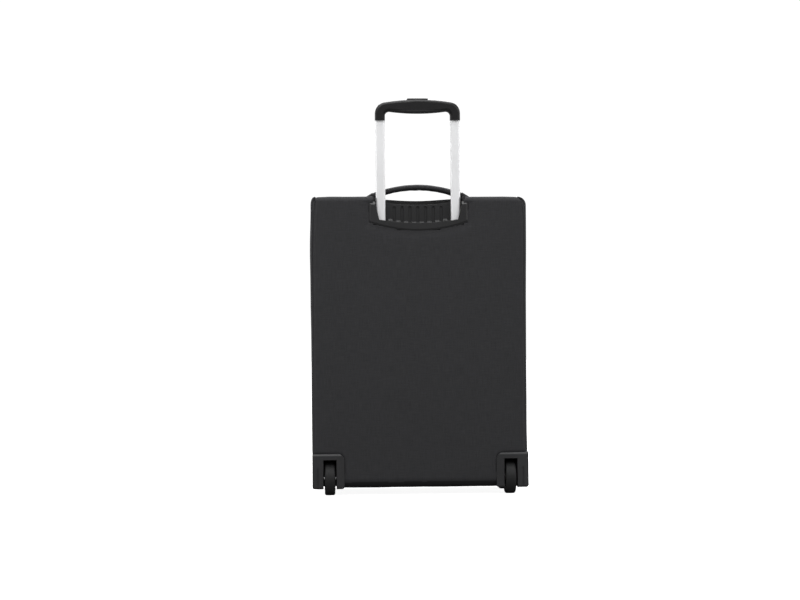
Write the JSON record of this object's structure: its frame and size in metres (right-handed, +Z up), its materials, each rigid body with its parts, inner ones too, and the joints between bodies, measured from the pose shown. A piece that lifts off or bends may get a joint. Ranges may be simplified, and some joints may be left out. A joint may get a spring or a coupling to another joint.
{
  "type": "softside upright suitcase",
  "caption": "Softside cabin suitcase on rear wheels, with a telescoping trolley handle sunk in a ribbed plate, a side-hinged zipped lid with front pockets and a carry handle.",
  "frame": {"origin": "on the floor under the centre of the upright case's overall box, the plane the wheels and feet stand on", "axes": "+Z up; +Y towards the trolley handle and wheels, so the lid with the pockets faces -Y; +X to the left hand of a person towing the case, the side the lid is hinged on"},
  "size_m": [0.398, 0.2, 0.7328],
  "materials": {
    "shell_fabric": "charcoal plain-weave polyester, matt",
    "gusset_fabric": "charcoal plain-weave polyester, matt",
    "pocket_fabric": "charcoal plain-weave polyester, matt",
    "piping_fabric": "fabric-covered cord, satin",
    "lining_fabric": "light polyester lining, soft sheen",
    "net": "knitted net",
    "webbing": "elastic webbing",
    "zip_tape": "woven tape with nylon coil",
    "board": "pressed board",
    "wire": "spring-steel wire",
    "moulding": "moulded with a fine grain",
    "moulding_satin": "satin moulding",
    "housing_plastic": "moulded with a fine grain",
    "foot_plastic": "moulded, matt",
    "grip_plastic": "satin moulding",
    "grip_soft": "soft-touch",
    "button_plastic": "moulded, matt",
    "tube_aluminium": "satin anodised",
    "inner_plastic": "moulded",
    "steel": "plated",
    "screw_steel": "black oxide",
    "tyre_rubber": "polyurethane, matt",
    "hub_plastic": "moulded",
    "bush_plastic": "acetal",
    "handle_wrap": "padded fabric wrap",
    "slider_metal": "nickel plated",
    "puller_tab": "moulded tab"
  },
  "bodies": {
    "case": {"rear_panel": "shell_fabric", "body_gusset": "gusset_fabric", "rear_piping": "piping_fabric", "back_board": "board", "frame_wire": "wire", "body_lining": "lining_fabric", "trolley_plate": "moulding", "case_screws": "screw_steel", "outer_tube_left": "tube_aluminium", "outer_tube_right": "tube_aluminium", "trolley_base_bracket": "inner_plastic", "wheel_housing_left": "housing_plastic", "wheel_housing_right": "housing_plastic", "axle_left": "steel", "axle_right": "steel", "front_foot_left": "foot_plastic", "front_foot_right": "foot_plastic", "carry_handle": "handle_wrap", "handle_mounts": "moulding_satin", "zip_tape_body": "zip_tape", "packing_straps": "webbing", "strap_buckle": "inner_plastic"},
    "middle_stage": {"middle_tube_left": "tube_aluminium", "middle_tube_right": "tube_aluminium", "middle_collars": "inner_plastic"},
    "handle": {"upper_tube_left": "tube_aluminium", "upper_tube_right": "tube_aluminium", "grip_shell": "grip_plastic", "grip_insert": "grip_soft", "tube_plugs": "inner_plastic"},
    "button": {"release_button": "button_plastic", "release_bar": "inner_plastic", "release_rods": "steel", "button_springs": "steel"},
    "pin_left": {"lock_pin_left": "steel"},
    "pin_right": {"lock_pin_right": "steel"},
    "wheel_left": {"tyre_left": "tyre_rubber", "hub_left": "hub_plastic", "bushes_left": "bush_plastic"},
    "wheel_right": {"tyre_right": "tyre_rubber", "hub_right": "hub_plastic", "bushes_right": "bush_plastic"},
    "lid": {"lid_gusset": "gusset_fabric", "lid_panel": "shell_fabric", "lid_piping": "piping_fabric", "lid_lining": "lining_fabric", "lid_net_pocket": "net", "zip_tape_lid": "zip_tape", "upper_pocket": "pocket_fabric", "lower_pocket": "pocket_fabric", "upper_pocket_zip": "zip_tape", "lower_pocket_zip": "zip_tape"},
    "main_slider_a": {"main_slider_a": "slider_metal"},
    "main_puller_a": {"main_puller_a": "puller_tab"},
    "main_slider_b": {"main_slider_b": "slider_metal"},
    "main_puller_b": {"main_puller_b": "puller_tab"},
    "upper_slider": {"upper_pocket_slider": "slider_metal"},
    "upper_puller": {"upper_pocket_puller": "puller_tab"},
    "lower_slider": {"lower_pocket_slider": "slider_metal"},
    "lower_puller": {"lower_pocket_puller": "puller_tab"}
  },
  "joints": [
    {"name": "middle_slide", "type": "slide", "parent": "case", "child": "middle_stage", "axis": [0, 0, 1], "range_m": [0, 0.22]},
    {"name": "handle_slide", "type": "slide", "parent": "middle_stage", "child": "handle", "axis": [0, 0, 1], "range_m": [-0.185, 0]},
    {"name": "button_press", "type": "slide", "parent": "handle", "child": "button", "axis": [0, 0, -1], "range_m": [0, 0.003], "stiffness_N_per_m": 800, "springref_m": -0.0015, "deforming": ["button_springs"]},
    {"name": "pin_left_slide", "type": "slide", "parent": "handle", "child": "pin_left", "axis": [-1, 0, 0], "range_m": [0, 0.002]},
    {"name": "pin_right_slide", "type": "slide", "parent": "handle", "child": "pin_right", "axis": [1, 0, 0], "range_m": [0, 0.002]},
    {"name": "wheel_left_spin", "type": "hinge", "parent": "case", "child": "wheel_left", "pos_m": [0.1665, 0.069, 0.031], "axis": [1, 0, 0], "continuous": true},
    {"name": "wheel_right_spin", "type": "hinge", "parent": "case", "child": "wheel_right", "pos_m": [-0.1665, 0.069, 0.031], "axis": [1, 0, 0], "continuous": true},
    {"name": "lid_hinge", "type": "hinge", "parent": "case", "child": "lid", "pos_m": [0.1995, -0.048, 0.2835], "axis": [0, 0, 1], "range_deg": [0, 160]},
    {"name": "main_slider_a_run", "type": "slide", "parent": "case", "child": "main_slider_a", "axis": [1, 0, 0], "range_m": [0, 0.285]},
    {"name": "main_puller_a_turn", "type": "hinge", "parent": "main_slider_a", "child": "main_puller_a", "pos_m": [-0.128, -0.048, 0.5535], "axis": [0, -1, 0], "range_deg": [0, 150]},
    {"name": "main_slider_b_run", "type": "slide", "parent": "case", "child": "main_slider_b", "axis": [-1, 0, 0], "range_m": [0, 0.02]},
    {"name": "main_puller_b_turn", "type": "hinge", "parent": "main_slider_b", "child": "main_puller_b", "pos_m": [-0.14, -0.048, 0.5535], "axis": [0, 1, 0], "range_deg": [0, 150]},
    {"name": "upper_slider_run", "type": "slide", "parent": "lid", "child": "upper_slider", "axis": [1, 0, 0], "range_m": [0, 0.276]},
    {"name": "upper_puller_turn", "type": "hinge", "parent": "upper_slider", "child": "upper_puller", "pos_m": [-0.138, -0.0982, 0.505], "axis": [-1, 0, 0], "range_deg": [0, 150]},
    {"name": "lower_slider_run", "type": "slide", "parent": "lid", "child": "lower_slider", "axis": [1, 0, 0], "range_m": [0, 0.3]},
    {"name": "lower_puller_turn", "type": "hinge", "parent": "lower_slider", "child": "lower_puller", "pos_m": [-0.15, -0.0988, 0.37], "axis": [-1, 0, 0], "range_deg": [0, 150]}
  ],
  "couplings": [
    {"joint": "pin_left_slide", "follows": "button_press", "ratio": 0.66},
    {"joint": "pin_right_slide", "follows": "button_press", "ratio": 0.66}
  ]
}
